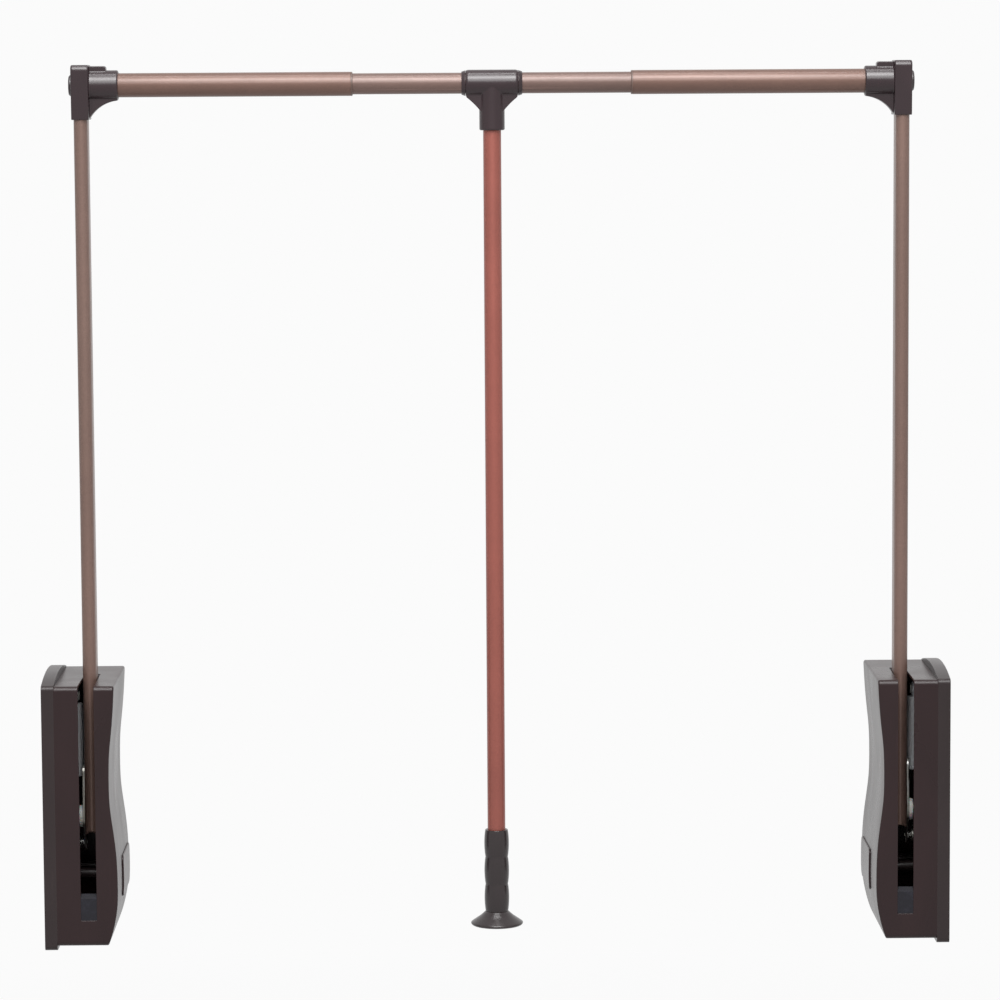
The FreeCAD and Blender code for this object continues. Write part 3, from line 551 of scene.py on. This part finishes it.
class ROD_PG_finishes(bpy.types.PropertyGroup):
    """One colour for each material slot of the record"""
    housing: paint("Covers", "Moulded covers of the casings", (0.021, 0.0092, 0.0100))
    housing_plate: paint("Plates", "Moulded plates on the walls", (0.028, 0.019, 0.0195))
    housing_cap: paint("Cover caps", "Caps over the covers' screws", (0.024, 0.010, 0.0110))
    fitting_plastic: paint("Fittings", "Corner connectors, T, caps and collars", (0.021, 0.0085, 0.0115))
    guide_plastic: paint("Guide rings", "Rings in the outer tubes' mouths", (0.13, 0.080, 0.064))
    grip_plastic: paint("Handle", "Grip and foot of the pull rod", (0.026, 0.018, 0.019))
    buffer_rubber: paint("Buffers", "Buffers and stop pads in the casings", (0.013, 0.0125, 0.017))
    bearing_nylon: paint("Bushes", "Bushes, glands, pistons and plugs", (0.92, 0.91, 0.86))
    zinc_steel: paint("Steel", "Levers, pins, axles, nuts and screws", (0.52, 0.52, 0.50))
    strut_chrome: paint("Strut rods", "Piston rods of the gas struts", (0.62, 0.62, 0.64))
    # A light grey in place of the struts' black, so that the cylinders show up in the shade inside the
    # casing's slot: painted light.
    strut_black: paint("Struts", "Cylinders of the gas struts", (0.66, 0.68, 0.70))
    arm_lacquer: paint("Arms", "Lacquer of the arms", (0.180, 0.113, 0.093))
    rail_lacquer: paint("Outer rail", "Lacquer of the rail's outer tubes", (0.150, 0.085, 0.067))
    inner_rail_lacquer: paint("Inner rail", "Lacquer of the rail's inner tube", (0.150, 0.094, 0.080))
    pull_rod_lacquer: paint("Pull rod", "Lacquer of the pull rod", (0.29, 0.086, 0.066))


class ROD_PG_pieces(bpy.types.PropertyGroup):
    """Sizes of the redrawn pieces"""
    outer_wall: length("Outer tube wall", "Wall of the rail's outer tubes", 0.001)
    inner_wall: length("Inner tube wall", "Wall of the inner tube and the pull rod", 0.0012)
    arm_wall: length("Arm wall", "Wall of the arms", 0.0015)
    rail_weld: angle("Rail weld", "Place of the weld, from the back over the top", math.radians(290))
    rod_weld: angle("Rod weld", "Place of the weld, from the right over the back", math.radians(80))
    bush_radius: length("Bush hole", "Radius of the arm's hole for the bush", 0.00805)
    voxel: length("Voxel", "Fineness of the moulded fittings", 0.00045)
    melt_passes: IntProperty(name="Melt", description="How far the fittings' joints run together",
                             default=5)
    keep_share: FloatProperty(name="Keep", description="Share of the fittings' faces that is kept",
                              default=0.35)
    grip_swell: length("Grip swell", "Height of the handle's barrels over its waists", 0.00115)
    grip_ledge: length("Grip ledge", "Ledge in the grip under the pull rod's end", 0.00125)
    foot_neck: length("Foot neck", "Radius of the foot where it meets the grip", 0.0116)
    foot_brim: length("Foot brim", "Height of the foot's brim and of the recess under it", 0.0028)


class ROD_PG_stage(bpy.types.PropertyGroup):
    """Floor, light and camera"""
    floor_height: length("Floor", "Height of the floor, which the lowered rail clears", -1.5)
    floor_size: length("Floor size", "Side of the floor", 400.0)
    floor_glow: brightness("Floor glow", "Share of the floor's own light under the object", 0.86)
    fade_start: length("Fade start", "Distance at which the floor begins to fade into the backdrop", 2.0)
    fade_end: length("Fade end", "Distance from which the floor looks like the backdrop", 7.0)
    paper_white: brightness("Paper white", "Brightness of floor and backdrop as seen", 0.965)
    world_fill: brightness("World fill", "Light that the surroundings throw", 0.42)
    front_radiance: brightness("Front box", "Brightness of the box over the camera", 6.0)
    top_radiance: brightness("Top box", "Brightness of the box overhead", 1.6)
    sheen_radiance: brightness("Sheen box", "Brightness added to the front box in gloss alone", 10.0)
    crown_radiance: brightness("Crown box", "Brightness of the gloss from overhead", 9.0)
    camera_place: FloatVectorProperty(name="Camera", description="Where the camera stands",
                                      default=(-0.0485, -4.1769, 0.8800), unit="LENGTH")
    camera_yaw: angle("Yaw", "Camera turned left", -0.0130)
    camera_pitch: angle("Pitch", "Camera tipped down", 0.1040)
    camera_roll: angle("Roll", "Camera rolled clockwise", 0.0062)
    focal_widths: FloatProperty(name="Focal length", description="Focal length in widths of the picture",
                                default=4.150)


# ---- operators ----
class ROD_OT_finish_nodes(bpy.types.Operator):
    """Makes the materials, and gives every CAD node the one of its slot in the record"""
    bl_idname = "closet_rod.finish_nodes"
    bl_label = "Finish the CAD nodes"

    def execute(self, context):
        build_materials(context.scene.rod_finishes)
        for entry in frame["record"]["subparts"]:
            item = frame["nodes"][entry["node"]]
            item.data.materials.clear()
            item.data.materials.append(materials[entry["material_slot"]])
        return {"FINISHED"}


class ROD_OT_draw_tubes(bpy.types.Operator):
    """Draws the rail and the pull rod as seamed tubes, and the arms as oval tubes"""
    bl_idname = "closet_rod.draw_tubes"
    bl_label = "Draw the tubes"

    def execute(self, context):
        sizes = context.scene.rod_pieces
        for side in ("left", "right"):
            tube(side + "_rail_outer_tube", "X", sizes.outer_wall / MM, sizes.rail_weld)
            oval_arm(side + "_arm_tube", side + "_lever_rivets", sizes.arm_wall / MM, sizes.bush_radius / MM)
        tube("rail_inner_tube", "X", sizes.inner_wall / MM, sizes.rail_weld)
        tube("pull_rod_tube", "Z", sizes.inner_wall / MM, sizes.rod_weld)
        return {"FINISHED"}


class ROD_OT_mould_fittings(bpy.types.Operator):
    """Moulds the corner connectors and the T with soft joints between their walls and ribs"""
    bl_idname = "closet_rod.mould_fittings"
    bl_label = "Mould the fittings"

    def execute(self, context):
        sizes = context.scene.rod_pieces
        for node in ("left_corner_connector", "right_corner_connector", "tee_connector"):
            moulded(node, sizes.voxel, sizes.melt_passes, sizes.keep_share)
        return {"FINISHED"}


class ROD_OT_mould_handle(bpy.types.Operator):
    """Moulds the pull rod's handle and its flared foot"""
    bl_idname = "closet_rod.mould_handle"
    bl_label = "Mould the handle"

    def execute(self, context):
        sizes = context.scene.rod_pieces
        rod_low, rod_high = reach("pull_rod_tube")
        rod_radius = (rod_high.x - rod_low.x) / 2
        bore = rod_radius - sizes.grip_ledge / MM
        self.grip(sizes.grip_swell / MM, rod_low.z - FIT, rod_radius + FIT, bore)
        self.foot(sizes.foot_neck / MM, sizes.foot_brim / MM, bore - FIT)
        return {"FINISHED"}

    def grip(self, swell, ledge, seat, bore):
        """Three barrels, open above for the rod down to the ledge, and bored through below it."""
        low, high = reach("grip")
        waist = (high.x - low.x) / 2 - swell
        outline = barrels(low.z, high.z, 3, waist, swell)
        outline[-1] = (high.z, waist, 0.4)
        outline += [(high.z, seat, 0.3), (ledge, seat, 0), (ledge, bore, 0), (low.z, bore, 0)]
        self.turn("grip", outline, (low + high) / 2)

    def foot(self, neck, brim, plug):
        """A flare with a recess under it, and a plug that goes up into the grip's bore."""
        low, high = reach("foot")
        rim = (high.x - low.x) / 2
        edge = 1.5
        shoulder = reach("grip")[0].z - FIT
        inside = low.z + brim
        outline = [(inside, 0, 0), (inside, neck, 0.6), (low.z, neck, 0.8), (low.z, rim - edge, 1.2),
                   (low.z + edge, rim, 1.0), (inside, rim, 0.8)]
        for up, out in ((0.30, 0.67), (0.62, 0.31)):
            outline.append((inside + up * (shoulder - inside), neck + out * (rim - neck), 3.0))
        outline += [(shoulder, neck, 0.3), (shoulder, plug, 0), (high.z, plug, 0.5), (high.z, 0, 0)]
        self.turn("foot", outline, (low + high) / 2)

    def turn(self, node, outline, centre):
        shape = bmesh.new()
        lathe(shape, outline, "Z", centre)
        finish(node + "_moulded", shape, node)


class ROD_OT_stage(bpy.types.Operator):
    """Builds the floor, the surroundings, the lamps and the camera"""
    bl_idname = "closet_rod.stage"
    bl_label = "Set the stage"

    def execute(self, context):
        settings = context.scene.rod_stage
        self.floor(settings)
        self.world(context, settings)
        self.soft_box("front_box", size=(2.1, 3.1), distance=3.0, elevation=46,
                      radiance=settings.front_radiance)
        top = self.soft_box("top_box", size=(2.6, 1.8), distance=3.2, elevation=110,
                            radiance=settings.top_radiance)
        sheen = self.soft_box("sheen_box", size=(1.9, 1.0), distance=2.95, elevation=51,
                              radiance=settings.sheen_radiance)
        crown = self.soft_box("crown_box", size=(1.7, 0.6), distance=3.2, elevation=88,
                              radiance=settings.crown_radiance)
        top.visible_glossy = False
        sheen.visible_diffuse = False
        crown.visible_diffuse = False
        self.camera(context, settings)
        return {"FINISHED"}

    def floor(self, settings):
        """A pale floor that keeps the object's shadow and fades into the backdrop further out."""
        shape = bmesh.new()
        bmesh.ops.create_grid(shape, x_segments=1, y_segments=1, size=settings.floor_size / 2)
        bmesh.ops.translate(shape, vec=(0, 0, settings.floor_height), verts=shape.verts)
        item = linked("floor", mesh_of("floor", shape))
        material, graph = new_material("floor")
        graph.fixed(Base_Color=(0.9, 0.9, 0.9, 1), Roughness=0.9)
        place = graph.node("ShaderNodeTexCoord", "Object")
        away = graph.node("ShaderNodeVectorMath", "Value", place, operation="LENGTH")
        share = graph.spread(away, settings.floor_glow, 1.0, settings.fade_start, settings.fade_end)
        share = graph.math("MULTIPLY", graph.seen_ray(), share)
        glow = graph.node("ShaderNodeEmission", "Emission", (1, 1, 1, 1), settings.paper_white)
        both = graph.node("ShaderNodeMixShader", "Shader", share, graph.shader.outputs["BSDF"], glow)
        graph.links.new(both, graph.nodes["Material Output"].inputs["Surface"])
        item.data.materials.append(material)

    def world(self, context, settings):
        """Surroundings that look paper white and throw less light than they show."""
        world = bpy.data.worlds.new("studio")
        world.use_nodes = True
        graph = Graph(world.node_tree)
        fill = (settings.world_fill,) * 3
        white = (settings.paper_white,) * 3
        tone = graph.blend(graph.seen_ray(), fill, white)
        graph.links.new(tone, graph.nodes["Background"].inputs["Color"])
        context.scene.world = world

    def soft_box(self, name, size, distance, elevation, radiance):
        """A rectangular lamp turned to the object, its elevation over the front in degrees."""
        light = bpy.data.lights.new(name, "AREA")
        light.shape = "RECTANGLE"
        light.size, light.size_y = size
        light.energy = radiance * math.pi * size[0] * size[1]
        item = linked(name, light)
        aim = Vector((0, 0, 0.75))
        raised = math.radians(elevation)
        away = Vector((0, -math.cos(raised), math.sin(raised)))
        item.location = aim + distance * away
        item.rotation_euler = away.to_track_quat("Z", "Y").to_euler()
        item.visible_camera = False
        return item

    def camera(self, context, settings):
        camera = bpy.data.cameras.new("camera")
        camera.lens = settings.focal_widths * camera.sensor_width
        camera.clip_end = settings.floor_size
        item = linked("camera", camera)
        yaw, pitch, roll = settings.camera_yaw, settings.camera_pitch, settings.camera_roll
        right = Vector((math.cos(yaw), math.sin(yaw), 0))
        level = Vector((-math.sin(yaw), math.cos(yaw), 0))
        ahead = level * math.cos(pitch) - Vector((0, 0, math.sin(pitch)))
        up = level * math.sin(pitch) + Vector((0, 0, math.cos(pitch)))
        across = right * math.cos(roll) - up * math.sin(roll)
        up = up * math.cos(roll) + right * math.sin(roll)
        facing = Matrix((across, up, -ahead)).transposed().to_4x4()
        item.matrix_world = Matrix.Translation(settings.camera_place) @ facing
        context.scene.camera = item


class ROD_PT_panel(bpy.types.Panel):
    """One button for each group of pieces and for the stage, and all their settings"""
    bl_label = "Closet rod"
    bl_idname = "ROD_PT_panel"
    bl_space_type = "VIEW_3D"
    bl_region_type = "UI"
    bl_category = "Closet rod"

    def draw(self, context):
        for operator in OPERATORS:
            self.layout.operator(operator.bl_idname)
        for name, group in SETTINGS.items():
            for key in group.__annotations__:
                self.layout.prop(getattr(context.scene, name), key)


SETTINGS = {"rod_finishes": ROD_PG_finishes, "rod_pieces": ROD_PG_pieces, "rod_stage": ROD_PG_stage}
OPERATORS = (ROD_OT_finish_nodes, ROD_OT_draw_tubes, ROD_OT_mould_fittings, ROD_OT_mould_handle, ROD_OT_stage)


def register():
    for item in (*SETTINGS.values(), *OPERATORS, ROD_PT_panel):
        bpy.utils.register_class(item)
    for name, group in SETTINGS.items():
        setattr(bpy.types.Scene, name, PointerProperty(type=group))


def unregister():
    for name in SETTINGS:
        delattr(bpy.types.Scene, name)
    for item in (ROD_PT_panel, *reversed(OPERATORS), *SETTINGS.values()):
        bpy.utils.unregister_class(item)


def main():
    register()
    bpy.ops.closet_rod.finish_nodes()
    bpy.ops.closet_rod.draw_tubes()
    bpy.ops.closet_rod.mould_fittings()
    bpy.ops.closet_rod.mould_handle()
    bpy.ops.closet_rod.stage()
    bpy.context.scene.view_settings.view_transform = "Standard"


if __name__ == "__main__":
    main()
